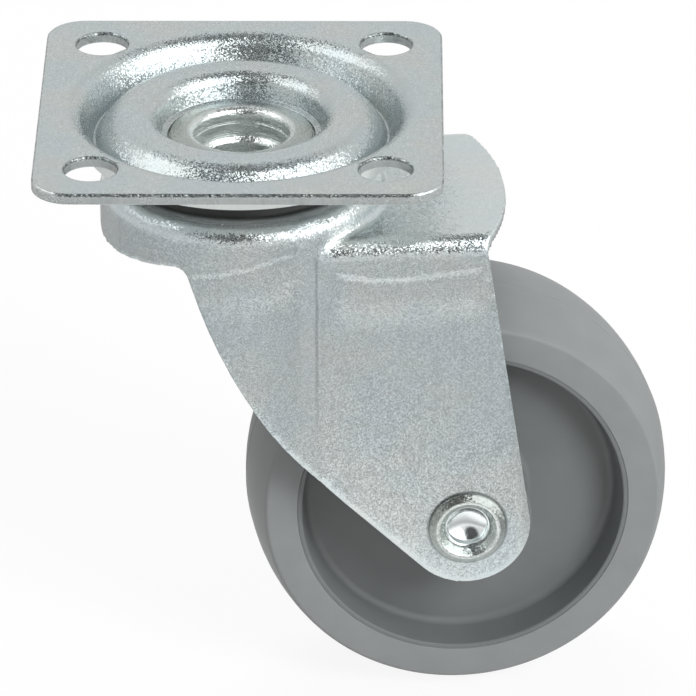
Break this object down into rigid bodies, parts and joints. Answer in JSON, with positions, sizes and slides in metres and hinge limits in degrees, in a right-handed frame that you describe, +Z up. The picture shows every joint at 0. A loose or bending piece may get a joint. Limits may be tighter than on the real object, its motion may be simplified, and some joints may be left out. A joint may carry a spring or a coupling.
{
  "type": "swivel castor",
  "caption": "Plate-fixed swivel castor: a square pressed plate carries a turning sheet-steel fork with a grey wheel.",
  "frame": {"origin": "centre of the plate's upper face, on the swivel axis", "axes": "+Z up out of the plate, X and Y along the plate's sides; the fork trails towards +X, turned 5.2 degrees towards +Y"},
  "size_m": [0.0943, 0.06, 0.095],
  "materials": {
    "plate_zinc": "bright zinc plating on pressed sheet",
    "fork_zinc": "bright zinc plating, speckled at the bends",
    "race_zinc": "zinc plating",
    "rivet_zinc": "zinc plating, smooth",
    "sleeve_steel": "plain drawn tube",
    "ball_steel": "polished steel",
    "wheel_plastic": "moulded, matt",
    "tyre_rubber": "moulded, matt, fine mottle"
  },
  "bodies": {
    "plate": {"top_plate": "plate_zinc", "king_rivet": "rivet_zinc", "lower_race": "race_zinc"},
    "fork": {"fork": "fork_zinc", "axle_rivet": "rivet_zinc", "axle_sleeve": "sleeve_steel"},
    "wheel": {"wheel_centre": "wheel_plastic", "tyre": "tyre_rubber"},
    "upper_balls": {"upper_ball_01": "ball_steel", "upper_ball_02": "ball_steel", "upper_ball_03": "ball_steel", "upper_ball_04": "ball_steel", "upper_ball_05": "ball_steel", "upper_ball_06": "ball_steel", "upper_ball_07": "ball_steel", "upper_ball_08": "ball_steel", "upper_ball_09": "ball_steel", "upper_ball_10": "ball_steel", "upper_ball_11": "ball_steel", "upper_ball_12": "ball_steel", "upper_ball_13": "ball_steel", "upper_ball_14": "ball_steel", "upper_ball_15": "ball_steel", "upper_ball_16": "ball_steel", "upper_ball_17": "ball_steel", "upper_ball_18": "ball_steel", "upper_ball_19": "ball_steel"},
    "lower_balls": {"lower_ball_01": "ball_steel", "lower_ball_02": "ball_steel", "lower_ball_03": "ball_steel", "lower_ball_04": "ball_steel", "lower_ball_05": "ball_steel", "lower_ball_06": "ball_steel", "lower_ball_07": "ball_steel", "lower_ball_08": "ball_steel", "lower_ball_09": "ball_steel", "lower_ball_10": "ball_steel", "lower_ball_11": "ball_steel", "lower_ball_12": "ball_steel", "lower_ball_13": "ball_steel", "lower_ball_14": "ball_steel"}
  },
  "joints": [
    {"name": "swivel", "type": "hinge", "parent": "plate", "child": "fork", "pos_m": [0, 0, 0], "axis": [0, 0, 1], "continuous": true},
    {"name": "wheel_spin", "type": "hinge", "parent": "fork", "child": "wheel", "pos_m": [0.03217, 0.00293, -0.0629], "axis": [0.0906, -0.9959, 0], "continuous": true},
    {"name": "upper_balls_orbit", "type": "hinge", "parent": "plate", "child": "upper_balls", "pos_m": [0, 0, 0], "axis": [0, 0, 1], "continuous": true},
    {"name": "lower_balls_orbit", "type": "hinge", "parent": "plate", "child": "lower_balls", "pos_m": [0, 0, 0], "axis": [0, 0, 1], "continuous": true}
  ],
  "couplings": [
    {"joint": "upper_balls_orbit", "follows": "swivel", "ratio": 0.5},
    {"joint": "lower_balls_orbit", "follows": "swivel", "ratio": 0.5}
  ]
}
